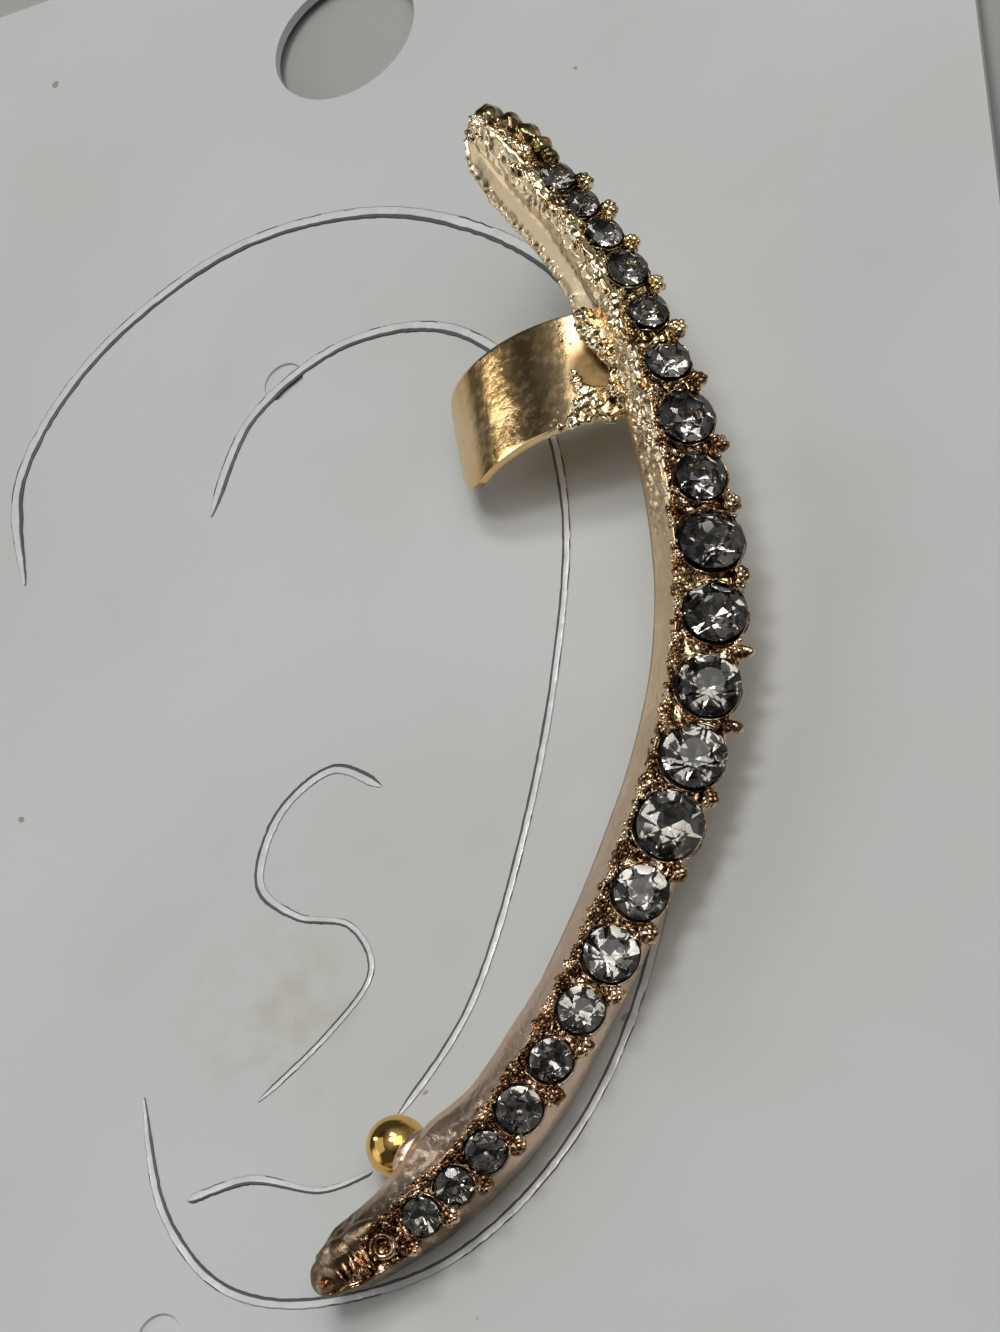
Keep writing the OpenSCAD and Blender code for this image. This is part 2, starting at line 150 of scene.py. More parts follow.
def gapPlace(i):  # the middle of the gap that follows stone i
    if i < 0:
        return stonePlaces[0] - barPlan["endGap"] * stoneSizes[0]
    if i == stoneCount - 1:
        return stonePlaces[i] + barPlan["endGap"] * stoneSizes[i]
    return (stonePlaces[i] + stonePlaces[i + 1] + (stoneSizes[i] - stoneSizes[i + 1]) / 2) / 2


def smoothSize(i):
    near = [stoneSizes[max(0, min(stoneCount - 1, k))] for k in (i - 1, i, i, i + 1)]
    return sum(near) / 4


# half widths of the bar's face and depths of the bar, each beside its distance from the top tip
halfWidths = [(0, barPlan["tipHalfWidth"]), (barPlan["tipBall"], 0.56 * barPlan["tipBall"])]
halfWidths += [(stonePlaces[i], smoothSize(i) / 2 + barPlan["rim"]) for i in range(stoneCount)]
halfWidths += [(barPlan["length"] - barPlan["cup"], 0.66 * barPlan["cup"]),
               (barPlan["length"], 0.42 * barPlan["cup"])]
depths = [(0, 0.45 * barPlan["depthTop"]), (0.8 * barPlan["tipBall"], 0.75 * barPlan["depthTop"]),
          (2.4 * barPlan["tipBall"], barPlan["depthTop"]), (stonePlaces[-1], barPlan["depthLow"]),
          (barPlan["length"] - barPlan["cup"], 0.85 * barPlan["depthLow"]),
          (barPlan["length"], 0.5 * barPlan["depthLow"])]


def tipShare(s):
    return min(1, between(depths, s) / barPlan["depthLow"])


cuff = {
    "at": 13,
    "radius": 6.85,
    "thickness": 0.4,
    "width": 5.4,
    "wrap": 93,
    "lap": 12,
    "twist": -10,
    "solder": 0.3,
    "cornerLow": 2.0,
    "cornerUp": 0.8,
    "sootAndShade": (0.5, 1.9),  # the dark burn, with painted shade of the solder's bowl, across the band and round it
}
cuffDrop = between(depths, cuff["at"]) + cuff["radius"] + cuff["thickness"] / 2 + 0.5 * cuff["solder"]
cuffAxis = barPlace(cuff["at"]) @ Matrix.Rotation(math.radians(cuff["twist"]), 4, "Z")
cuffAxis = cuffAxis @ Matrix.Translation((0, 0, -cuffDrop))  # the band's curl runs round its X


def bandPoint(x, arc, radius):  # x along the band's width, arc in millimetres from the bar's back
    turn = arc / cuff["radius"]
    return cuffAxis @ Vector((x, -radius * math.sin(turn), radius * math.cos(turn)))


# Shaders


class Wire:  # one socket, with the sums and products of shader maths
    def __init__(self, shader, socket):
        self.shader = shader
        self.socket = socket

    def maths(self, operation, *values):
        return self.shader.add("ShaderNodeMath", {"operation": operation}, dict(enumerate(values)))

    def __add__(self, other):
        return self.maths("ADD", self, other)

    def __sub__(self, other):
        return self.maths("SUBTRACT", self, other)

    def __mul__(self, other):
        return self.maths("MULTIPLY", self, other)

    def __radd__(self, other):
        return self.maths("ADD", other, self)

    def __rsub__(self, other):
        return self.maths("SUBTRACT", other, self)

    def __rmul__(self, other):
        return self.maths("MULTIPLY", other, self)


class Shader:
    def __init__(self, owner):
        owner.use_nodes = True
        self.owner = owner
        self.tree = owner.node_tree
        self.tree.nodes.clear()

    def add(self, kind, settings=None, inputs=None, output=0):
        node = self.tree.nodes.new(kind)
        for name, value in (settings or {}).items():
            if name == "stops":
                ramp = node.color_ramp
                while len(ramp.elements) < len(value):
                    ramp.elements.new(0.5)
                for element, (position, colour) in zip(ramp.elements, value):
                    element.position = position
                    element.color = colour
            else:
                setattr(node, name, value)
        for name, value in (inputs or {}).items():
            if isinstance(value, Wire):
                self.tree.links.new(value.socket, node.inputs[name])
            else:
                node.inputs[name].default_value = value
        return Wire(self, node.outputs[output] if node.outputs else None)

    def place(self):
        return self.add("ShaderNodeTexCoord", output="Object")

    def noise(self, scale, detail=2, roughness=0.5, vector=None):
        return self.add("ShaderNodeTexNoise", {}, {"Vector": vector or self.place(), "Scale": scale,
                                                   "Detail": detail, "Roughness": roughness})

    def ease(self, value, low, high, toLow=0.0, toHigh=1.0):
        return self.add("ShaderNodeMapRange", {"interpolation_type": "SMOOTHSTEP"},
                        {0: value, 1: low, 2: high, 3: toLow, 4: toHigh})

    def blend(self, factor, one, other, mode="MIX"):
        return self.add("ShaderNodeMix", {"data_type": "RGBA", "blend_type": mode},
                        {0: factor, 6: one, 7: other}, output=2)

    def bump(self, height, distance, strength=1.0, normal=None):
        inputs = {"Height": height, "Distance": distance, "Strength": strength}
        if normal:
            inputs["Normal"] = normal
        return self.add("ShaderNodeBump", {}, inputs)

    def surface(self, inputs):
        body = self.add("ShaderNodeBsdfPrincipled", {}, inputs)
        self.add("ShaderNodeOutputMaterial", {}, {"Surface": body})
        return self.owner


def newShader(name):
    return Shader(bpy.data.materials.new(name))


def rgb(r, g, b):
    return r, g, b, 1.0


goldTones = {
    "pale": rgb(1.0, 0.83, 0.55),
    "warm": rgb(0.83, 0.62, 0.39),
    "satin": rgb(0.72, 0.54, 0.36),
    "rose": rgb(0.76, 0.56, 0.43),
    "polish": rgb(0.98, 0.74, 0.40),
    "copper": rgb(0.84, 0.58, 0.37),
    "amber": rgb(0.21, 0.105, 0.048),
    "olive": rgb(0.22, 0.16, 0.07),
    "band": rgb(0.80, 0.52, 0.22),
    "ball": rgb(0.86, 0.53, 0.16),
}


def lowShare(sh, where):  # from champagne at the middle to rose gold at the low end
    height = sh.add("ShaderNodeSeparateXYZ", {}, {0: where}, output="Y")
    return height, sh.ease(height, -0.006, -0.020)


def castGold():  # satin wall with upright streaks, polished towards the top tip
    sh = newShader("castGold")
    where = sh.place()
    streaks = sh.noise(1300, 4, 0.6, sh.add("ShaderNodeMapping", {}, {0: where, 3: (1.0, 1.0, 0.35)}))
    grain = sh.noise(5200, 3, 0.6)
    cloud = sh.noise(330, 2)
    height, low = lowShare(sh, where)
    polished = sh.ease(height + 0.003 * cloud, 0.0025, 0.009)
    colour = sh.blend(sh.ease(cloud, 0.35, 0.7), goldTones["warm"], goldTones["satin"])
    colour = sh.blend(low, colour, goldTones["rose"])
    colour = sh.blend(0.35 * sh.ease(streaks, 0.5, 0.7), colour, goldTones["pale"])
    colour = sh.blend(0.8 * polished, colour, rgb(0.90, 0.72, 0.47))
    # darker towards the very end of the low tip, in streaks
    darkerEnd = sh.ease(height + 0.0015 * cloud, -0.0235, -0.0262) * (0.55 + 0.45 * sh.ease(streaks, 0.62, 0.5))
    colour = sh.blend(0.9 * darkerEnd, colour, rgb(0.13, 0.09, 0.04))
    rough = 0.3 + 0.12 * sh.ease(cloud, 0.3, 0.7) - 0.08 * sh.ease(streaks, 0.5, 0.8)
    rough = rough * (1 - 0.35 * polished)
    bump = sh.bump(grain * (1 - 0.7 * polished), 0.00003, 0.8)
    return sh.surface({"Base Color": colour, "Metallic": 1.0, "Roughness": rough,
                       "Normal": sh.bump(streaks * (1 - 0.4 * polished), 0.00008, 0.6, bump)})


def brightGold():  # crumpled and polished metal, with painted shade in its pits
    sh = newShader("brightGold")
    folds = sh.noise(1700, 4, 0.6)
    colour = sh.blend(sh.ease(folds, 0.45, 0.6), rgb(1.0, 0.84, 0.58), rgb(0.80, 0.56, 0.28))
    # dark patches paint the shade in small pits of the crumpled metal
    pitShade = sh.ease(sh.noise(1100, 3, 0.6, sh.place()), 0.56, 0.63)
    colour = sh.blend(0.85 * pitShade, colour, rgb(0.17, 0.10, 0.04))
    return sh.surface({"Base Color": colour, "Metallic": 1.0, "Roughness": 0.09 + 0.08 * folds,
                       "Normal": sh.bump(folds, 0.0001, 0.7)})


def grainGold():  # the small beads round the stones; their amber and olive patches are painted shade and dark reflection
    sh = newShader("grainGold")
    where = sh.place()
    patches = sh.noise(1500, 3, 0.6)
    fine = sh.noise(4200, 3)
    cells = sh.add("ShaderNodeTexVoronoi", {}, {"Vector": where, "Scale": 5200.0})
    height, low = lowShare(sh, where)
    litTone = sh.blend(low, goldTones["warm"], goldTones["copper"])
    litTone = sh.blend(sh.ease(height, 0.004, 0.011), litTone, goldTones["polish"])
    # amber and olive patches paint the beads' shade and dark reflections
    paintedShadeTone = sh.blend(sh.ease(height, 0.004, 0.011), goldTones["amber"], goldTones["olive"])
    colour = sh.blend(sh.ease(patches, 0.42, 0.54), litTone, paintedShadeTone)
    bump = sh.bump(fine, 0.00001, 0.5)
    return sh.surface({"Base Color": colour, "Metallic": 1.0, "Roughness": 0.07 + 0.08 * fine,
                       "Normal": sh.bump(1 - cells, 0.00004, 0.5, bump)})


def oliveGold():  # dark plating on the tips' lumps, partly painted dark reflection, with painted highlights on the creases
    sh = newShader("oliveGold")
    folds = sh.noise(1500, 3, 0.6)
    # olive base partly paints dark reflection; the lighter creases are painted highlights
    colour = sh.blend(sh.ease(folds, 0.44, 0.6), goldTones["olive"], rgb(0.62, 0.48, 0.24))
    return sh.surface({"Base Color": colour, "Metallic": 1.0, "Roughness": 0.08 + 0.08 * folds,
                       "Normal": sh.bump(folds, 0.00012, 0.6)})


def amberGold():  # the dark glossy bead at the low end
    sh = newShader("amberGold")
    cloud = sh.noise(1400, 2)
    colour = sh.blend(sh.ease(cloud, 0.4, 0.6), rgb(0.08, 0.03, 0.012), rgb(0.30, 0.14, 0.05))
    return sh.surface({"Base Color": colour, "Metallic": 0.9, "Roughness": 0.08 + 0.06 * cloud,
                       "Normal": sh.bump(cloud, 0.00005, 0.4)})


def seatDark():  # glue and oxide under the stones, darkened as painted shade in the seats
    sh = newShader("seatDark")
    patches = sh.noise(1500, 3)
    colour = sh.blend(sh.ease(patches, 0.5, 0.68), rgb(0.008, 0.006, 0.005), rgb(0.10, 0.045, 0.02))
    return sh.surface({"Base Color": colour, "Metallic": 0.4, "Roughness": 0.4 + 0.3 * patches})


def bandGold():  # rolled sheet with fine dimples
    sh = newShader("bandGold")
    dimples = sh.noise(2400, 4, 0.6)
    cloud = sh.noise(260, 2)
    colour = sh.blend(sh.ease(cloud, 0.35, 0.7), goldTones["band"], rgb(0.86, 0.63, 0.36))
    stainAt = bandPoint(*cuff["sootAndShade"], cuff["radius"] + cuff["thickness"])
    reach = sh.add("ShaderNodeVectorMath", {"operation": "DISTANCE"}, {0: sh.place(), 1: cardToRow @ stainAt},
                   output="Value")
    # soot of the solder, deepened as painted shade of the dark bowl beside the bar
    sootAndShade = sh.ease(reach + 0.0009 * cloud, 0.0026, 0.0015)
    colour = sh.blend(0.9 * sootAndShade, colour, rgb(0.10, 0.055, 0.022))
    rough = 0.14 + 0.1 * sh.ease(dimples, 0.4, 0.7) + 0.3 * sootAndShade
    broad = sh.bump(sh.noise(650, 2), 0.000012, 0.4)
    return sh.surface({"Base Color": colour, "Metallic": 1.0, "Roughness": rough,
                       "Normal": sh.bump(dimples, 0.00003, 0.4, broad)})


def ballGold():  # smooth plating of the stud's ball, its post and the nut
    sh = newShader("ballGold")
    streaks = sh.noise(900, 3)
    return sh.surface({"Base Color": goldTones["ball"], "Metallic": 1.0, "Roughness": 0.06 + 0.06 * streaks,
                       "Normal": sh.bump(streaks, 0.00002, 0.3)})


def crownGlass():  # the clear upper part of each stone
    sh = newShader("crownGlass")
    wear = sh.noise(900, 1)
    return sh.surface({"Base Color": rgb(0.92, 0.93, 0.92), "Roughness": 0.012 * sh.ease(wear, 0.6, 0.8),
                       "IOR": 1.58, "Transmission Weight": 1.0})


def foilBack():  # the mirrored back of each stone, smoky and a little mottled, its black patches painted dark reflections
    sh = newShader("foilBack")
    tint = sh.noise(600, 2)
    darkReflection = sh.noise(1100, 2, 0.6)
    colour = sh.blend(sh.ease(tint, 0.35, 0.65), rgb(0.82, 0.79, 0.76), rgb(0.47, 0.45, 0.42))
    # black patches paint dark reflections in the stones
    colour = sh.blend(0.9 * sh.ease(darkReflection, 0.55, 0.59), colour, rgb(0.02, 0.019, 0.017))
    return sh.surface({"Base Color": colour, "Metallic": 1.0, "Roughness": 0.01 + 0.01 * darkReflection})


def paperBoard():  # matt and dimpled, with a few stains and specks
    sh = newShader("paperBoard")
    where = sh.place()
    fibre = sh.noise(1500, 5, 0.65)
    dimples = sh.noise(420, 3)
    cloud = sh.noise(38, 3)
    colour = sh.blend(sh.ease(cloud, 0.3, 0.7), rgb(0.660, 0.672, 0.655), rgb(0.605, 0.612, 0.588))
    # darker brownish patches at random over the card
    darkPatch = sh.ease(sh.noise(70, 3, 0.5), 0.5, 0.75)
    colour = sh.blend(0.22 * darkPatch, colour, rgb(0.50, 0.475, 0.42))
    stainAt = cardToRow @ Vector((-2.2, -15.6, 0))
    reach = sh.add("ShaderNodeVectorMath", {"operation": "DISTANCE"}, {0: where, 1: stainAt}, output="Value")
    edge = sh.noise(260, 4, 0.6)
    stain = sh.ease(reach + 0.006 * edge, 0.0085, 0.0045) * sh.ease(sh.noise(700, 3), 0.35, 0.75)
    colour = sh.blend(0.5 * stain, colour, rgb(0.50, 0.46, 0.34))
    speck = sh.ease(sh.noise(760, 1), 0.815, 0.825)
    colour = sh.blend(0.7 * speck, colour, rgb(0.22, 0.19, 0.15))
    bump = sh.bump(fibre, 0.00004, 0.35)
    return sh.surface({"Base Color": colour, "Roughness": 0.62,
                       "Normal": sh.bump(dimples, 0.00007, 0.35, bump)})


def silverFoil():  # its U runs round the foil's section, so one edge can carry a painted shadow
    sh = newShader("silverFoil")
    grain = sh.noise(3200, 3)
    broad = sh.noise(700, 2)
    around = sh.add("ShaderNodeSeparateXYZ", {}, {0: sh.add("ShaderNodeTexCoord", output="UV")}, output="X")
    # painted shadow along one edge of the foil, and a thin painted shade in places along the other
    edgeShadow = sh.ease(around + 0.08 * broad, 0.34, 0.37) + sh.ease(around, 0.12, 0.1) * sh.ease(broad, 0.5, 0.4)
    colour = sh.blend(sh.ease(broad, 0.35, 0.65), rgb(0.97, 0.97, 0.97), rgb(0.72, 0.73, 0.74))
    colour = sh.blend(0.9 * edgeShadow, colour, rgb(0.05, 0.05, 0.05))
    return sh.surface({"Base Color": colour, "Metallic": 0.3 - 0.2 * sh.ease(broad, 0.4, 0.6),
                       "Roughness": 0.25 + 0.2 * grain, "Normal": sh.bump(grain, 0.00005, 0.8)})


finish = {
    "cast": castGold(),
    "bright": brightGold(),
    "grain": grainGold(),
    "olive": oliveGold(),
    "amber": amberGold(),
    "seat": seatDark(),
    "band": bandGold(),
    "ball": ballGold(),
    "crown": crownGlass(),
    "foilBack": foilBack(),
    "paper": paperBoard(),
    "foil": silverFoil(),
}
print("finishes made")

# Mesh helpers


def startMesh():
    bm = bmesh.new()
    bm.loops.layers.uv.new("UVMap")
    return bm


def gridInto(bm, columns, rows, place):  # a grid, each vertex put where its two shares say, its seams joined
    made = bmesh.ops.create_grid(bm, x_segments=columns, y_segments=rows, size=0.5, calc_uvs=True)["verts"]
    for vert in made:
        vert.co = place(vert.co.x + 0.5, vert.co.y + 0.5)
    bmesh.ops.remove_doubles(bm, verts=made, dist=1e-5)


def endMesh(bm, name):
    mesh = bpy.data.meshes.new(name)
    bm.to_mesh(mesh)
    bm.free()
    return mesh


def turnOf(share, steps):  # a grid's share as an angle, the same at both ends
    return 2 * math.pi * (round(share * steps) % steps) / steps


def sow(bm, mesh, place):
    copy = mesh.copy()
    copy.transform(place)
    bm.from_mesh(copy)
    bpy.data.meshes.remove(copy)


bm = startMesh()
bmesh.ops.create_uvsphere(bm, u_segments=8, v_segments=5, radius=1)
beadSeed = endMesh(bm, "bead")  # it is put down many times


def beadInto(bm, centre, radius):
    sow(bm, beadSeed, Matrix.Translation(centre) @ Matrix.Scale(radius, 4))


def lumpInto(bm, place, size, number, roughness=0.12, scale=1.6, divisions=3):
    lump = startMesh()
    for vert in bmesh.ops.create_icosphere(lump, subdivisions=divisions, radius=1)["verts"]:
        shift = noise.noise(vert.co * scale + Vector((number, 2 * number, 0))) * roughness * 2
        local = vert.co * (1 + shift)
        vert.co = Vector((local.x * size[0], local.y * size[1], local.z * size[2]))
    mesh = endMesh(lump, "lump")
    sow(bm, mesh, place)
    bpy.data.meshes.remove(mesh)


def finishPiece(name, bm, materials, replaces=(), sharp=False):
    bmesh.ops.transform(bm, matrix=cardToRow, verts=bm.verts)
    bmesh.ops.recalc_face_normals(bm, faces=bm.faces)
    for face in bm.faces:
        face.smooth = not sharp
    mesh = endMesh(bm, name)
    piece = bpy.data.objects.new(name, mesh)
    bpy.context.scene.collection.objects.link(piece)
    for material in materials:
        mesh.materials.append(material)
    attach(piece, "root")
    for node in replaces:
        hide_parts(node)
    print(name, len(mesh.polygons), "faces")
    return piece


def melt(piece, voxel, rounds):  # runs a piece's lumps together
    joined = piece.modifiers.new("joined", "REMESH")
    joined.mode = "VOXEL"
    joined.voxel_size = voxel * mm
    joined.use_smooth_shade = True
    eased = piece.modifiers.new("eased", "SMOOTH")
    eased.iterations = rounds


def beside(s, across, up):  # a frame beside the bar's middle line
    return barPlace(s) @ Matrix.Translation((0, across, up))


# The bar

barBody = {
    "around": 76,
    "rings": 560,
    "firstRing": 0.12,  # share of the tip's ball
    "top": 0.36,  # shares of the way round, to the end of the face, outer wall and back
    "outer": 0.52,
    "back": 0.66,
    "channel": 0.42,  # how deep the face lies between the stones
    "outerEdge": 0.03,  # of metal past the stones on the outer side
    "hole": 0.1,  # past each stone's edge
    "holeStep": (0.14, 0.95),  # depth at the hole's edge, and slope to its middle
    "topFull": (3.6, 2.8),  # stretches where the channel is filled at the tips
    "lowFull": (1.6, 2.2),
    "wave": 0.02,  # relief of the walls
    "ripple": 0.014,
    "crumple": 0.22,  # of the inner wall near the top tip, and the groove along it
    "groove": 0.12,
    "footFolds": 0.24,
    "midFolds": (0.16, 0.09),  # below the cuff
    "lowFolds": 0.1,
    "endFold": 0.05,
    "studSwell": (0.22, 0.5),  # towards the stud, and at its solder
    "backBulge": 0.1,
}


def outerHalf(s):  # the outer rim follows the stones
    half = between(halfWidths, s)
    reach = 0.62 * half
    for place, size in zip(stonePlaces, stoneSizes):
        radius = size / 2 + barBody["outerEdge"]
        if abs(s - place) < radius:
            reach = max(reach, math.sqrt(radius**2 - (s - place) ** 2))
    share = smooth(3.4, 2.6, s) + smooth(stonePlaces[-1] + 0.5, stonePlaces[-1] + 1.2, s)
    reach += (half - reach) * share
    return min(reach, half)


def topHeight(s, u, inner, outer):
    edge = u + inner if u < 0 else outer - u
    low = [stonePlaces[-1] + past for past in barBody["lowFull"]]
    filled = max(smooth(*barBody["topFull"], s), smooth(*low, s))
    floor = -barBody["channel"] * (1 - filled) + 0.12 * noise.noise(Vector((s * 4, u * 4, 0)))
    height = barPlan["rimUp"] + (floor - barPlan["rimUp"]) * smooth(0.03, 0.16, edge)
    for place, size in zip(stonePlaces, stoneSizes):
        if abs(s - place) < size:
            reach = size / 2 + barBody["hole"] - math.hypot(s - place, u)
            if reach > 0:
                height = min(height, -barBody["holeStep"][0] - barBody["holeStep"][1] * reach)
    return height


def innerRelief(s, q, spot):  # folds of the inner wall at s, from its rim (q is 0) to its foot (q is 1)
    rough = smooth(15.5, 12.0, s)
    folds = ridged(spot + Vector((0, 0.3 * noise.noise(spot * 0.7), 0)), 1.3)
    push = rough * barBody["crumple"] * (folds * 0.6 + 0.4 * ridged(spot, 3.1)) * smooth(0.55, 0.36, q)
    push -= rough * barBody["groove"] * bell(0.6, 0.14, q) * smooth(0.5, 3.5, s)
    push += rough * barBody["footFolds"] * ridged(Vector((s * 1.9, q, 4)), 1.2) * smooth(0.78, 0.92, q)
    middle = smooth(11, 14, s) * smooth(24.5, 19, s) * smooth(1, 0.6, q)
    wide, fine = barBody["midFolds"]
    push += middle * wide * ridged(Vector((s * 0.7, 5 * q, 2)), 2.2)
    push += middle * fine * ridged(Vector((s * 1.6, 9 * q, 5)), 2.2)
    low = smooth(47, 50, s) * smooth(56, 54, s) * smooth(0.55, 0.2, q)
    push += low * barBody["lowFolds"] * ridged(Vector((s * 0.8, 4 * q, 1)), 2.3)
    push += barBody["endFold"] * bell(57.2, 1.2, s) * ridged(spot, 2.0)
    towardsStud, atStud = barBody["studSwell"]
    swell = towardsStud * smooth(42, 47, s) + atStud * bell(51.7, 2.0, s)
    return push + swell * smooth(0.05, 0.6, q)


def sectionPoint(s, t):  # a point of the bar's section, from its inner rim over the face and round
    half = between(halfWidths, s)
    outerTop = outerHalf(s)
    share = s / barPlan["length"]
    inner = between(barPlan["innerFlare"], share) * tipShare(s)
    outer = between(barPlan["outerFlare"], share) * tipShare(s)
    depth = between(depths, s)
    if t <= barBody["top"]:
        u = -half + (half + outerTop) * t / barBody["top"]
        return u, topHeight(s, u, half, outerTop)
    if t <= barBody["outer"]:
        q = (t - barBody["top"]) / (barBody["outer"] - barBody["top"])
        top, foot, sign = outerTop, half + outer, 1
    elif t < barBody["back"]:
        q = (t - barBody["outer"]) / (barBody["back"] - barBody["outer"])
        u = (half + outer) * (1 - q) - (half + inner) * q
        return u, -depth - barBody["backBulge"] * math.sin(math.pi * q)
    else:
        q = (1 - t) / (1 - barBody["back"])
        top, foot, sign = half, half + inner, -1
    spot = Vector((s, 3 * q, 7 * sign))
    push = 0.03 * math.sin(math.pi * q) - 0.12 * smooth(0.86, 1, q)
    push += barBody["wave"] * noise.noise(spot * 0.9) + barBody["ripple"] * noise.noise(spot * 3.5)
    if sign < 0:
        push += innerRelief(s, q, spot)
    else:
        taper = (1 - q) ** 2
        top = top * taper + (half + min(0.02, outer)) * (1 - taper)
    u = top + (foot - top) * q + push * smooth(0, 0.08, q)
    return sign * u, barPlan["rimUp"] - (depth + barPlan["rimUp"]) * q


firstRing = barBody["firstRing"] * barPlan["tipBall"]
ringPlaces = {}


def barPoint(t, v):
    ring = round(v * barBody["rings"])
    if ring not in ringPlaces:
        s = firstRing + (barPlan["length"] - firstRing) * ring / barBody["rings"]
        ringPlaces[ring] = (s, barPlace(s))
    s, place = ringPlaces[ring]
    step = round(t * barBody["around"]) % barBody["around"]
    u, w = sectionPoint(s, step / barBody["around"])
    return place @ Vector((0, u, w))


bm = startMesh()
gridInto(bm, barBody["around"], barBody["rings"], barPoint)
bmesh.ops.holes_fill(bm, edges=bm.edges, sides=0)
seatPlaces = [barPlace(place) for place in stonePlaces]
around = bm.loops.layers.uv.active
for face in bm.faces:  # grain on the face, painted shade (partly glue and oxide) in the seats under the stones
    middle = face.calc_center_median()
    t = sum(loop[around].uv.x for loop in face.loops) / len(face.loops)
    if t < barBody["top"]:
        face.material_index = 2
    for seat, size in zip(seatPlaces, stoneSizes):
        away = middle - seat.translation
        if away.length < size / 2 + 0.12:
            up = away.dot(seat.col[2].to_3d())
            if up < -0.1 and (away - up * seat.col[2].to_3d()).length < size / 2 + barBody["hole"]:
                face.material_index = 1
finishPiece("bar_body", bm, [finish["cast"], finish["seat"], finish["grain"]], replaces=["climber_frame"])

# Small beads, ridges and prongs round the stones

setting = {
    "rimFrom": 3.2,
    "rimTo": 55.2,
    "rimStep": 0.16,
    "rimRows": (  # out, up, radius, share that is kept
        (-0.16, 0.1, 0.12, 0.9), (-0.03, 0.06, 0.14, 0.85),
        (0.06, -0.14, 0.12, 0.5), (0.12, -0.34, 0.09, 0.12),
    ),
    "gapBeads": 44,
    "fewBeadsTo": 15,  # a third of the beads as far as here
    "colletTube": 0.035,
    "colletOut": 0.1,
    "colletSteps": (6, 48),
    "nuggets": 5,  # at the inner end of each gap
    "nuggetSize": (0.19, 0.17, 0.16),
    "prongLength": 0.36,
    "prongBeads": 12,
    "prongBead": 0.27,
    "smoothProngs": (9, 10),
}
random.seed(21)
bm = startMesh()


def nearestStone(s, u):
    return min(math.hypot(s - place, u) - size / 2 for place, size in zip(stonePlaces, stoneSizes))


s = setting["rimFrom"]
while s < setting["rimTo"]:
    half = between(halfWidths, s)
    for row, (out, up, radius, share) in enumerate(setting["rimRows"]):
        spot = s + random.uniform(-0.08, 0.08) + 0.08 * row
        bead = radius * random.uniform(0.55, 1.3)
        u = -(half + out + random.uniform(-0.06, 0.06))
        keep = share + 0.5 * noise.noise(Vector((spot * 1.3, row, 3)))
        keep *= smooth(11, 17, spot) * 0.75 + 0.25
        if random.random() < keep and nearestStone(spot, u) > 0.08:
            place = beside(spot, u, up + random.uniform(-0.05, 0.06))
            sow(bm, beadSeed, place @ Matrix.Diagonal((bead * random.uniform(0.8, 1.5), bead, bead, 1)))
    s += setting["rimStep"]
for i in range(-1, stoneCount):
    s = gapPlace(i)
    half = between(halfWidths, s)
    for k in range(setting["gapBeads"] // (1 if s > setting["fewBeadsTo"] else 3)):
        u = random.uniform(-half, 0.8 * half)
        spot = s + random.uniform(-0.8, 0.8)
        if nearestStone(spot, u) > 0.13:
            rise = random.uniform(-0.2, 0.08) + 0.12 * (abs(u) / half) ** 2
            beadInto(bm, barPlace(spot) @ Vector((0, u, rise)), random.uniform(0.06, 0.15))
finishPiece("grain_beads", bm, [finish["grain"]])

bm = startMesh()
for i, (place, size) in enumerate(zip(stonePlaces, stoneSizes)):
    seat = barPlace(place)

    def ringPoint(a, b, size=size, seat=seat, i=i):
        roundTube, turn = map(turnOf, (a, b), setting["colletSteps"])
        wobble = noise.noise(Vector((math.cos(turn) * 2.6, math.sin(turn) * 2.6, i * 3.7)))
        thick = setting["colletTube"] * (1 + 0.7 * wobble)
        radius = size / 2 + setting["colletOut"] + thick * math.cos(roundTube) + 0.04 * wobble
        height = -0.1 + thick * math.sin(roundTube) + 0.16 * wobble - 0.12 * smooth(0, 1, math.sin(turn))
        return seat @ Vector((radius * math.cos(turn), radius * math.sin(turn), height))

    gridInto(bm, *setting["colletSteps"], ringPoint)
finishPiece("collets", bm, [finish["grain"]])

bm = startMesh()
for i in range(-1, stoneCount):
    s = gapPlace(i)
    half = between(halfWidths, s)
    place = barPlace(s)
    for k in range(setting["nuggets"]):
        spot = Matrix.Translation((random.uniform(-0.3, 0.3), -half + random.uniform(-0.1, 0.35),
                                   random.uniform(-0.02, 0.16)))
        lumpInto(bm, place @ spot, setting["nuggetSize"], i + 3 * k, 0.3, 2.4, 2)
    if i < 0:
        continue
    root = Vector((0, min(0.66 * half, half - 0.25), 0.02))
    rise = 0.35 + 0.15 * math.sin(1.7 * i)
    grow = Vector((0.12 * math.sin(3.1 * i), math.cos(rise), math.sin(rise))) * setting["prongLength"]
    size = setting["prongBead"] + 0.03 * math.sin(2.1 * i)
    if i in setting["smoothProngs"]:
        turned = Matrix.Rotation(rise, 4, "X")
        lumpInto(bm, place @ Matrix.Translation(root + 0.9 * grow) @ turned, (0.27, 0.4, 0.25), i, 0.06, 1.4)
        lumpInto(bm, place @ Matrix.Translation(root + 0.15 * grow), (0.3, 0.3, 0.24), i + 31, 0.2, 2.4)
        continue
    for k in range(setting["prongBeads"]):
        far = k / (setting["prongBeads"] - 1)
        side = 0.26 * (1 - 0.3 * far) * math.sin(2.4 * k + i)
        shift = root + far * grow + Vector((side, 0, 0.12 * math.cos(2.4 * k + i)))
        nugget = size * (1 - 0.3 * far) * random.uniform(0.7, 1.1)
        lumpInto(bm, place @ Matrix.Translation(shift), (nugget, nugget, nugget), k + 3 * i, 0.16, 1.5, 2)
finishPiece("prongs", bm, [finish["grain"]])

# The tips

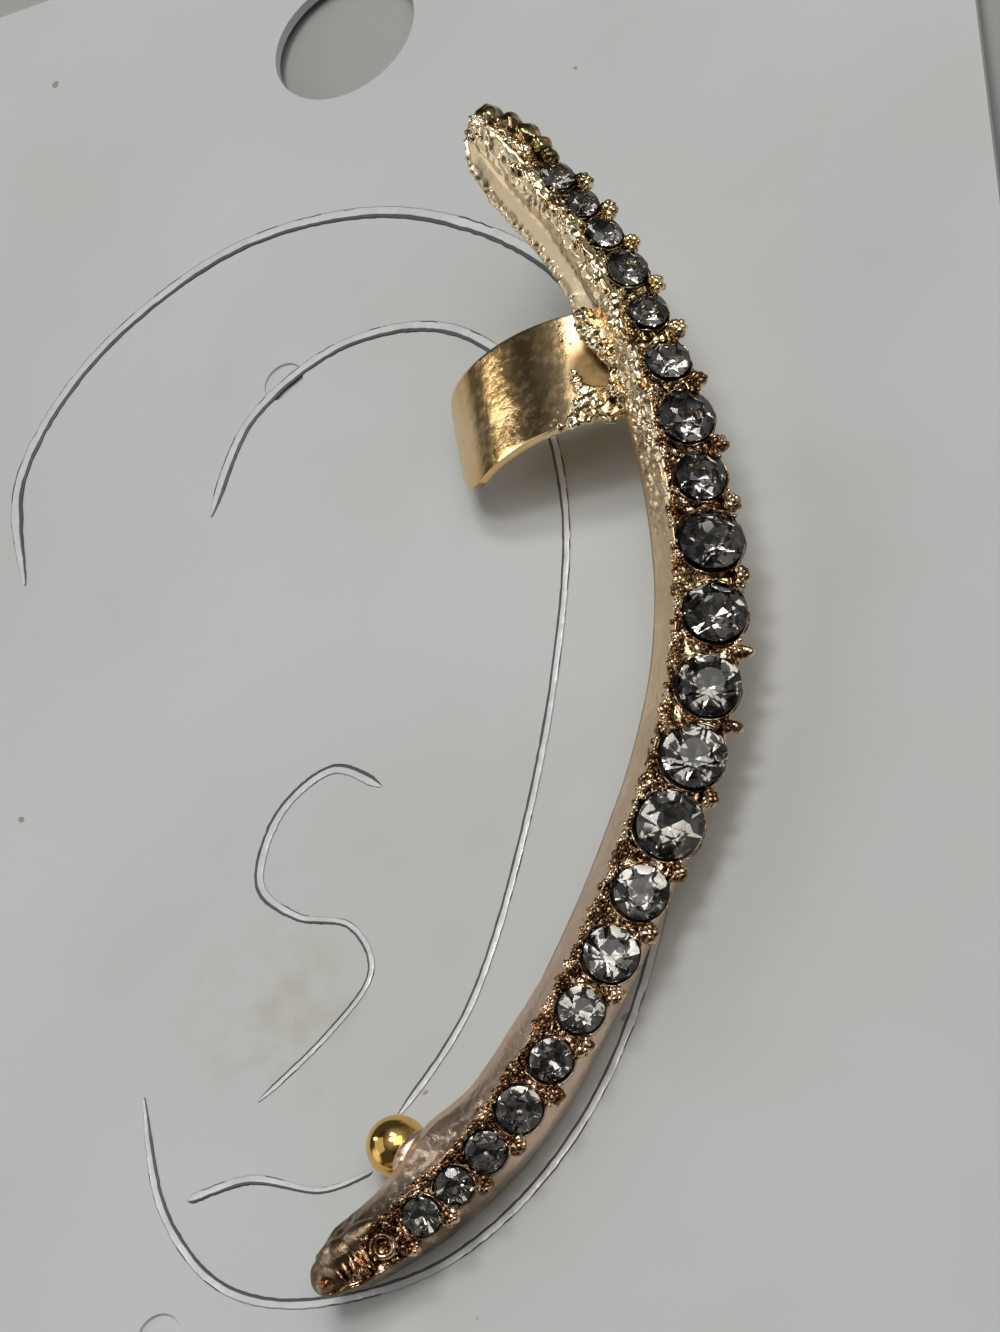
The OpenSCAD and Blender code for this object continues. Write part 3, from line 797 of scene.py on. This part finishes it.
topTip = {
    "lumps": (  # along, across, up, half sizes, number
        (0.5, 0.0, -0.12, (0.66, 0.66, 0.66), 1),
        (1.45, 0.24, 0.05, (0.72, 0.6, 0.58), 2),
        (2.3, 0.4, 0.16, (0.66, 0.54, 0.54), 4),
        (3.1, 0.44, 0.16, (0.52, 0.48, 0.5), 5),
        (3.75, 0.3, 0.1, (0.4, 0.44, 0.42), 8),
    ),
    "folds": (
        (0.5, -0.42, -0.2, (0.62, 0.34, 0.5), 6),
        (1.6, -0.38, -0.12, (0.8, 0.36, 0.42), 7),
        (2.7, -0.36, -0.02, (0.7, 0.34, 0.34), 9),
        (0.9, -0.6, -0.7, (0.9, 0.4, 0.6), 12),
    ),
}
bm = startMesh()
for along, across, height, halves, number in topTip["lumps"]:
    lumpInto(bm, beside(along, across, height), halves, number, 0.1, 1.5, 4)
melt(finishPiece("top_tip", bm, [finish["olive"]]), 0.035, 8)

bm = startMesh()
for along, across, height, halves, number in topTip["folds"]:
    lumpInto(bm, beside(along, across, height), halves, number, 0.26, 2.6, 4)
finishPiece("top_folds", bm, [finish["bright"]])

wallFolds = {
    "step": 0.42,
    "rimFrom": 3.4,
    "rimCount": 30,
    "rimHalves": (0.42, 0.26, 0.26),
    "footFrom": 10.7,  # solder over the foot of the wall, where the cuff meets it
    "footCount": 11,
    "bareAt": 13.4,
}
random.seed(8)
bm = startMesh()
for k in range(wallFolds["rimCount"]):
    s = wallFolds["rimFrom"] + wallFolds["step"] * k
    half = between(halfWidths, s)
    size = random.uniform(0.9, 1.35) * (1 - 0.35 * smooth(11, 15.5, s))
    rim = (-half - random.uniform(0.1, 0.34), random.uniform(-0.2, 0.1))
    lumpInto(bm, beside(s, *rim), [part * size for part in wallFolds["rimHalves"]], k, 0.22, 1.6, 3)
for k in range(wallFolds["footCount"]):
    s = wallFolds["footFrom"] + wallFolds["step"] * k
    half, depth = between(halfWidths, s), between(depths, s)
    foot = half + between(barPlan["innerFlare"], s / barPlan["length"])
    bare = bell(wallFolds["bareAt"], 0.7, s)
    place = beside(s, -foot + 0.1 + 0.2 * bare, 0.35 - depth)
    lumpInto(bm, place, (0.45, 0.55 - 0.25 * bare, 0.45), 50 + k, 0.24, 1.6, 4)
melt(finishPiece("wall_folds", bm, [finish["bright"]]), 0.04, 2)

lowTip = {
    "cupPast": 0.9,  # from the last stone's edge, in cup widths
    "cupRadius": 0.42,
    "cupTube": (0.14, 0.17),
    "cupHeight": 0.2,
    "cupSteps": (10, 40),
    "ridges": 5,
    "ridgeFrom": 0.78,
    "ridgeStep": 0.32,
    "ridgeHalf": (0.62, 0.05),  # of the first one, and how much less each next one has
    "beads": (  # along from the cup, across, up, radius
        (-0.55, 0.5, 0.12, 0.24), (-0.1, 0.72, 0.0, 0.2), (0.3, 0.66, 0.02, 0.17),
        (-0.6, -0.45, 0.1, 0.24), (0.45, -0.6, 0.05, 0.18),
    ),
    "endBead": ((0.24, 0.04, 0.3), (0.3, 0.3, 0.28)),  # place 0.42 before the end, half sizes
    "endLumps": (  # back from the end, across, up, half sizes
        (0.3, -0.1, -0.5, (0.9, 0.84, 0.76)),
        (1.1, -0.62, -0.5, (1.1, 0.7, 0.74)),
        (2.1, -0.8, -0.5, (1.2, 0.55, 0.66)),
        (1.3, 0.42, -0.7, (1.0, 0.45, 0.5)),
        (0.9, -0.1, -1.0, (1.2, 0.9, 0.6)),
    ),
}
cupAt = stonePlaces[-1] + stoneSizes[-1] / 2 + lowTip["cupPast"] * barPlan["cup"]
cupSeat = barPlace(cupAt)


def cupPoint(a, b):
    roundTube, turn = map(turnOf, (a, b), lowTip["cupSteps"])
    wobble = noise.noise(Vector((math.cos(turn) * 1.5, math.sin(turn) * 1.5, 8)))
    radius = lowTip["cupRadius"] + lowTip["cupTube"][0] * math.cos(roundTube) + 0.04 * wobble
    height = lowTip["cupHeight"] + lowTip["cupTube"][1] * math.sin(roundTube) + 0.06 * wobble
    return cupSeat @ Vector((radius * math.cos(turn), radius * math.sin(turn), height))


bm = startMesh()
gridInto(bm, *lowTip["cupSteps"], cupPoint)
for k in range(lowTip["ridges"]):
    place = beside(cupAt + lowTip["ridgeFrom"] + lowTip["ridgeStep"] * k, 0.05, 0.04)
    place = place @ Matrix.Rotation(0.15 * math.sin(2 * k), 4, "Z")
    half = lowTip["ridgeHalf"][0] - lowTip["ridgeHalf"][1] * k
    lumpInto(bm, place, (0.13, half, 0.26), k + 11, 0.14, 2.2)
for along, across, height, radius in lowTip["beads"]:
    lumpInto(bm, beside(cupAt + along, across, height), (radius, radius, radius), 23, 0.3, 2.2, 2)
finishPiece("low_tip", bm, [finish["grain"]])

bm = startMesh()
spot, halves = lowTip["endBead"]
lumpInto(bm, barPlace(barPlan["length"] - 0.42) @ Matrix.Translation(spot), halves, 19, 0.1, 1.4, 4)
finishPiece("end_bead", bm, [finish["amber"]])

bm = startMesh()
for back, across, height, halves in lowTip["endLumps"]:
    lumpInto(bm, beside(barPlan["length"] - back, across, height), halves, 20, 0.05, 1.2, 4)
melt(finishPiece("low_end", bm, [finish["cast"]]), 0.04, 16)

# The cuff band and its solder

arcStart = -math.radians(cuff["lap"]) * cuff["radius"]
arcEnd = math.radians(cuff["wrap"]) * cuff["radius"]
sheetSteps = 42  # across each face of the sheet


def sheetPoint(a, b):  # once round the sheet's section: over its outer face, back over its inner face
    step = round(a * 2 * sheetSteps) % (2 * sheetSteps)
    outside = step < sheetSteps
    across = (step if outside else 2 * sheetSteps - 1 - step) / (sheetSteps - 1)
    x = (across - 0.5) * cuff["width"]
    limit = arcEnd
    for corner, side in ((cuff["cornerLow"], -1), (cuff["cornerUp"], 1)):
        edge = cuff["width"] / 2 + side * x
        if edge < corner:
            limit = min(limit, arcEnd - corner + math.sqrt(max(0, corner**2 - (corner - edge) ** 2)))
    wave = 0.03 * noise.noise(Vector((x * 0.5, b * 5, 3)))
    half = cuff["thickness"] / 2 * (1 if outside else -1)
    return bandPoint(x, arcStart + (limit - arcStart) * b, cuff["radius"] + half + wave)


bm = startMesh()
gridInto(bm, 2 * sheetSteps, 90, sheetPoint)
bmesh.ops.holes_fill(bm, edges=bm.edges, sides=0)
band = finishPiece("cuff_band", bm, [finish["band"]])
edge = band.modifiers.new("softEdge", "BEVEL")
edge.width = 0.08 * mm
edge.segments = 2
edge.limit_method = "ANGLE"
edge.angle_limit = math.radians(50)

solderLumps = (  # across the band, round it, size, height
    (-2.45, 1.9, 0.55, 0.1), (-2.3, 1.0, 0.7, 0.25), (-1.8, 2.0, 0.55, 0.15), (-1.5, 0.9, 0.65, 0.25),
    (-1.1, 1.8, 0.5, 0.12), (-0.7, 0.5, 0.6, 0.25), (-0.1, 0.2, 0.6, 0.2), (0.7, 0.1, 0.6, 0.2),
    (1.5, 0.3, 0.6, 0.2), (2.3, 0.7, 0.7, 0.2), (0.3, 3.0, 0.2, 0.02), (0.7, 2.95, 0.26, 0.04),
    (1.15, 2.85, 0.3, 0.05), (1.5, 2.6, 0.45, 0.08), (1.95, 2.2, 0.6, 0.12), (2.35, 2.7, 0.55, 0.1),
    (2.5, 1.8, 0.6, 0.15), (2.6, 3.4, 0.36, 0.04), (2.65, 4.0, 0.2, 0.0), (1.9, 3.0, 0.36, 0.06),
)
solderDrops = (  # across the band, round it, radius
    (-2.3, 3.25, 0.13), (-1.9, 3.3, 0.1), (-1.5, 3.25, 0.12), (-2.4, 3.6, 0.07), (2.4, 4.4, 0.08),
    (-1.2, 2.9, 0.08), (2.2, 4.2, 0.1), (1.9, 4.0, 0.08), (0.4, 3.3, 0.09), (1.0, 3.6, 0.1),
)
bandOuter = cuff["radius"] + cuff["thickness"] / 2


def bandSeat(x, arc):  # a frame on the band's outer face, its Z outwards
    spot = bandPoint(x, arc, bandOuter)
    out = (bandPoint(x, arc, bandOuter + 1) - spot).normalized()
    side = (bandPoint(x + 0.5, arc, bandOuter) - spot).normalized()
    axes = Matrix((side, out.cross(side), out)).transposed().to_4x4()
    axes.translation = spot
    return axes


bm = startMesh()
for number, (x, arc, size, height) in enumerate(solderLumps):
    place = bandSeat(x, arc) @ Matrix.Translation((0, 0, height))
    lumpInto(bm, place, (size, size, 0.12 + 0.32 * size), number, 0.26, 1.8, 4)
for x, arc, size in solderDrops:
    beadInto(bm, bandPoint(x, arc, bandOuter), size)
melt(finishPiece("cuff_solder", bm, [finish["bright"]]), 0.04, 5)

# The stud

stud = {
    "size": 2.55,
    "clear": 0.05,
    "solderAt": 51.73,
    "postBevel": 0.12,
    "neck": (  # share of the way to the bar, sideways, up, half sizes
        (0.4, 0.1, 0.12, (1.15, 0.62, 0.74)),
        (0.62, 0.0, 0.05, (1.8, 0.75, 0.7)),
        (0.85, -0.2, -0.2, (2.3, 0.6, 0.6)),
        (0.42, 0.62, 0.62, (0.3, 0.3, 0.24)),
    ),
}
bm = startMesh()
ballCentre = cardPlan["stud"] + Vector((0, 0, stud["clear"] + stud["size"] / 2))
bmesh.ops.create_uvsphere(bm, u_segments=64, v_segments=40, radius=stud["size"] / 2,
                          matrix=Matrix.Translation(ballCentre))
finishPiece("stud_ball", bm, [finish["ball"]])

bm = startMesh()
postTop = ballCentre.z
postEnd = -cardPlan["thickness"] - cardPlan["behind"]
postMiddle = Vector((ballCentre.x, ballCentre.y, (postTop + postEnd) / 2))
bmesh.ops.create_cone(bm, cap_ends=True, segments=40, radius1=cardPlan["postRadius"],
                      radius2=cardPlan["postRadius"], depth=postTop - postEnd,
                      matrix=Matrix.Translation(postMiddle))
rim = [edge for edge in bm.edges if all(abs(vert.co.z - postEnd) < 1e-4 for vert in edge.verts)]
bmesh.ops.bevel(bm, geom=rim, offset=stud["postBevel"], affect="EDGES", segments=3, profile=0.5, material=-1)
finishPiece("ear_post", bm, [finish["ball"]])

wallPlace = barPlace(stud["solderAt"])
wallSpot = wallPlace @ Vector((0.2, -0.7 * between(halfWidths, stud["solderAt"]), -0.9))
reach = wallSpot - ballCentre
neckAlong = reach.normalized()
neckSide = wallPlace.col[0].to_3d()
neckSide = (neckSide - neckAlong * neckSide.dot(neckAlong)).normalized()
neckUp = neckSide.cross(neckAlong)
neckUp *= 1 if neckUp.z > 0 else -1
neckAxes = Matrix((neckSide, neckAlong, neckUp)).transposed().to_4x4()
bm = startMesh()
for number, (share, aside, height, halves) in enumerate(stud["neck"]):
    spot = ballCentre + reach * share + neckSide * aside + neckUp * height
    lumpInto(bm, Matrix.Translation(spot) @ neckAxes, halves, 40 + number, 0.05, 1.2, 4)
melt(finishPiece("stud_solder", bm, [finish["cast"]]), 0.05, 12)

# The stones, cut facet by facet

cut = {  # lengths as shares of the stone's width
    "girdle": 0.03,
    "table": 0.165,
    "facets": (  # side, count, degrees, turn, radius and share of the table's height that they pass
        (-1, 8, 41, 0, 0.497, 0),
        (1, 8, 34, 0, 0.495, 0),
        (1, 16, 40, 0.5, 0.499, 0),
        (1, 8, 20, 0.5, 0.285, 0.86),
    ),
    "size": 0.97,  # of its seat's stone
    "tilt": 5,
}


def sliceOff(bm, normal, distance):
    normal = Vector(normal).normalized()
    done = bmesh.ops.bisect_plane(bm, geom=bm.verts[:] + bm.edges[:] + bm.faces[:], dist=1e-5,
                                  plane_co=normal * distance, plane_no=normal, clear_outer=True)
    edges = [g for g in done["geom_cut"] if isinstance(g, bmesh.types.BMEdge)]
    if edges:
        bmesh.ops.contextual_create(bm, geom=edges)


halfGirdle = cut["girdle"] / 2
gem = bmesh.new()
bmesh.ops.create_cone(gem, cap_ends=True, segments=32, radius1=0.5, radius2=0.5, depth=1.2)
for side, count, degrees, turn, radius, share in cut["facets"]:
    tilt = math.radians(degrees)
    height = side * halfGirdle + share * cut["table"]
    for k in range(count):
        angle = 2 * math.pi * (k + turn) / count
        outwards = Vector((math.cos(angle), math.sin(angle), 0))
        normal = outwards * math.sin(tilt) + Vector((0, 0, side * math.cos(tilt)))
        sliceOff(gem, normal, normal.dot(outwards * radius + Vector((0, 0, height))))
sliceOff(gem, (0, 0, 1), halfGirdle + cut["table"])
for face in gem.faces:
    face.material_index = 1 if face.calc_center_median().z < -halfGirdle * 0.9 else 0
gemMesh = endMesh(gem, "gem")
print("gem facets", len(gemMesh.polygons))
random.seed(5)
for i, (place, size) in enumerate(zip(stonePlaces, stoneSizes)):
    bm = bmesh.new()
    bm.from_mesh(gemMesh)
    tilt = Matrix.Translation((-0.01 * size, 0.02 * size, 0))
    for axis in ("X", "Y"):
        tilt = tilt @ Matrix.Rotation(math.radians(random.uniform(-cut["tilt"], cut["tilt"])), 4, axis)
    spin = Matrix.Rotation(random.uniform(0, 2 * math.pi), 4, "Z")
    place = barPlace(place) @ tilt @ spin @ Matrix.Scale(size * cut["size"], 4)
    bmesh.ops.transform(bm, matrix=place, verts=bm.verts)
    finishPiece(f"cut_stone_{i + 1:02d}", bm, [finish["crown"], finish["foilBack"]],
                [f"stone_{i + 1:02d}"], sharp=True)

# The silver foil outline of an ear on the card

foil = {
    "widths": (0.68, 0.6, 0.48, 0.44),  # of each line
    "height": 0.05,
    "clear": 0.004,
    "around": 8,
    "ragged": 0.16,
    "thinner": 0.36,  # towards the far end
    "lines": (
        ((-16.9, 9.6), (-17.6, 16.2), (-13.6, 22.4), (-6.2, 26.3), (1.6, 26.0), (8.2, 22.4),
         (12.6, 17.2), (15.8, 9.0), (16.9, 0.0), (16.4, -9.6), (14.3, -18.2), (10.9, -24.1),
         (6.0, -27.8), (0.2, -28.7), (-4.4, -27.4), (-7.4, -23.6), (-8.6, -18.4)),
        ((-6.6, 10.6), (-4.6, 15.6), (0.2, 18.4), (5.8, 17.6), (10.0, 13.0), (11.6, 6.0), (11.0, -2.0),
         (9.2, -10.4), (6.8, -17.2), (3.4, -21.6)),
        ((2.6, -6.0), (0.2, -4.6), (-2.4, -6.2), (-3.3, -9.4), (-1.4, -11.4), (1.2, -12.4), (2.2, -14.8),
         (0.2, -17.2), (-3.0, -19.6)),
        ((-6.2, -23.4), (-3.2, -23.0), (0.0, -24.0), (2.4, -23.6)),
    ),
}


def through(points, share):  # a smooth path through the points
    place = share * (len(points) - 1)
    k = min(int(place), len(points) - 2)
    x = place - k
    p0, p1, p2, p3 = (Vector(points[max(0, min(len(points) - 1, k + j))]) for j in (-1, 0, 1, 2))
    bend = (2 * p0 - 5 * p1 + 4 * p2 - p3) * x**2 + (3 * p1 - p0 - 3 * p2 + p3) * x**3
    return 0.5 * (2 * p1 + (p2 - p0) * x + bend)


bm = startMesh()
for number, points in enumerate(foil["lines"]):
    steps = 24 * (len(points) - 1)

    def foilPoint(a, b):
        here = through(points, b)
        ahead = through(points, min(1, b + 0.001)) - through(points, max(0, b - 0.001))
        across = Vector((-ahead.y, ahead.x)).normalized()
        turn = turnOf(a, foil["around"])
        ragged = noise.noise(Vector((b * steps * 0.35, 9, number)))
        ragged += noise.noise(Vector((b * steps * 1.1, 3, number)))
        wide = foil["widths"][number] / 2 * (1 + foil["ragged"] * ragged)
        wide *= min(1, 0.25 + 20 * min(b, 1 - b)) * (1 - foil["thinner"] * smooth(0.3, 0.62, b))
        spot = here + across * wide * math.cos(turn)
        return Vector((spot.x, spot.y, foil["clear"] + foil["height"] / 2 * (1 + math.sin(turn))))

    gridInto(bm, foil["around"], steps, foilPoint)
bmesh.ops.holes_fill(bm, edges=bm.edges, sides=0)
finishPiece("foil_outline", bm, [finish["foil"]])

# Card and nut keep their CAD shapes

for node, material in (("display_card", finish["paper"]), ("ear_nut", finish["ball"])):
    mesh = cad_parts[node].data
    mesh.materials.clear()
    mesh.materials.append(material)

# Floor, light and camera

bm = bmesh.new()
bmesh.ops.create_grid(bm, x_segments=1, y_segments=1, size=1.5)
floorMesh = endMesh(bm, "floor")
floor = bpy.data.objects.new("floor", floorMesh)
bpy.context.scene.collection.objects.link(floor)
sh = newShader("floorTop")
floorMesh.materials.append(sh.surface({"Base Color": rgb(0.42, 0.42, 0.40), "Roughness": 0.8}))

world = bpy.data.worlds.new("studio")
bpy.context.scene.world = world
sky = Shader(world)
direction = sky.add("ShaderNodeTexCoord", output="Generated")


def towards(azimuth, elevation):
    azimuth, elevation = math.radians(azimuth), math.radians(elevation)
    return Vector((math.cos(elevation) * math.cos(azimuth), math.cos(elevation) * math.sin(azimuth),
                   math.sin(elevation)))


def patch(middle, inner, outer):  # soft round part of the sky, its edge from inner to outer degrees
    near = sky.add("ShaderNodeVectorMath", {"operation": "DOT_PRODUCT"}, {0: direction, 1: middle},
                   output="Value")
    return sky.ease(near, math.cos(math.radians(outer)), math.cos(math.radians(inner)))


studioSky = {  # middle, inner and outer degrees, strength
    "ground": 0.06,
    "ceiling": (towards(40, 72), 8, 50, 0.3),
    "wall": (towards(20, 25), 5, 50, 0.1),
    "leftWall": (towards(200, 14), 5, 24, 0.85),
    "frontShade": (towards(-54, 45), 10, 34, 0.5),
    "sideShade": (towards(134, 52), 8, 22, 0.5),
}
level = sky.add("ShaderNodeMath", {"operation": "ADD"}, {0: studioSky["ground"], 1: 0.0})
for name in ("ceiling", "wall", "leftWall"):
    middle, inner, outer, strength = studioSky[name]
    level = level + strength * patch(middle, inner, outer)
for name in ("frontShade", "sideShade"):
    middle, inner, outer, strength = studioSky[name]
    level = level * (1 - strength * patch(middle, inner, outer))
colour = sky.add("ShaderNodeCombineColor", {}, {0: level, 1: level, 2: 0.98 * level})
background = sky.add("ShaderNodeBackground", {}, {"Color": colour, "Strength": 1.0})
sky.add("ShaderNodeOutputWorld", {}, {"Surface": background})

studioLights = {
    "overhead": {"place": (0.05, 0.06, 0.55), "size": (0.14, 0.1), "power": 0.48},
    "backTop": {"place": towards(68, 64) * 0.6, "size": (0.2, 0.1), "power": 0.67},
    "rightSoft": {"place": towards(6, 63) * 0.6, "size": (0.34, 0.34), "power": 0.6},
    "leftBroad": {"place": towards(185, 46) * 0.6, "size": (0.5, 0.4), "power": 0.33},
    "leftWindow": {"place": (-0.522, 0.212, 0.29), "size": (0.06, 0.2), "power": 0.28},
}
aim = Vector((0.008, 0, 0.004))
for name, rig in studioLights.items():
    lamp = bpy.data.lights.new(name, "AREA")
    lamp.shape = "RECTANGLE"
    lamp.size, lamp.size_y = rig["size"]
    lamp.energy = rig["power"]
    lampObject = bpy.data.objects.new(name, lamp)
    lampObject.location = rig["place"]
    lampObject.rotation_euler = (aim - Vector(rig["place"])).to_track_quat("-Z", "Y").to_euler()
    bpy.context.scene.collection.objects.link(lampObject)

view = {
    "target": Vector((8.34, -1.44, 0)),  # on the card
    "distance": 130.27,
    "tilt": math.radians(38.5),
    "azimuth": math.radians(-54.5),
    "roll": math.radians(-0.7),
    "focal": 3000,  # in pixels, as the image's height is
    "imageHeight": 1332,
    "sensor": 36,
}
back = Vector((math.sin(view["tilt"]) * math.cos(view["azimuth"]),
               math.sin(view["tilt"]) * math.sin(view["azimuth"]), math.cos(view["tilt"])))
up = (Vector((0, 1, 0)) - back * back.y).normalized()
right = up.cross(back)
turnedRight = right * math.cos(view["roll"]) + up * math.sin(view["roll"])
turnedUp = up * math.cos(view["roll"]) - right * math.sin(view["roll"])
pose = Matrix((turnedRight, turnedUp, back)).transposed().to_4x4()
pose.translation = view["target"] + back * view["distance"]
pose = cardToRow @ pose
camera = bpy.data.cameras.new("camera")
camera.sensor_width = view["sensor"]
camera.lens = view["focal"] / view["imageHeight"] * view["sensor"]
camera.clip_start = 0.005
cameraObject = bpy.data.objects.new("camera", camera)
bpy.context.scene.collection.objects.link(cameraObject)
cameraObject.location = pose.translation
cameraObject.rotation_euler = pose.to_quaternion().to_euler()
bpy.context.scene.camera = cameraObject
bpy.context.scene.view_settings.view_transform = "Standard"
print("studio ready")
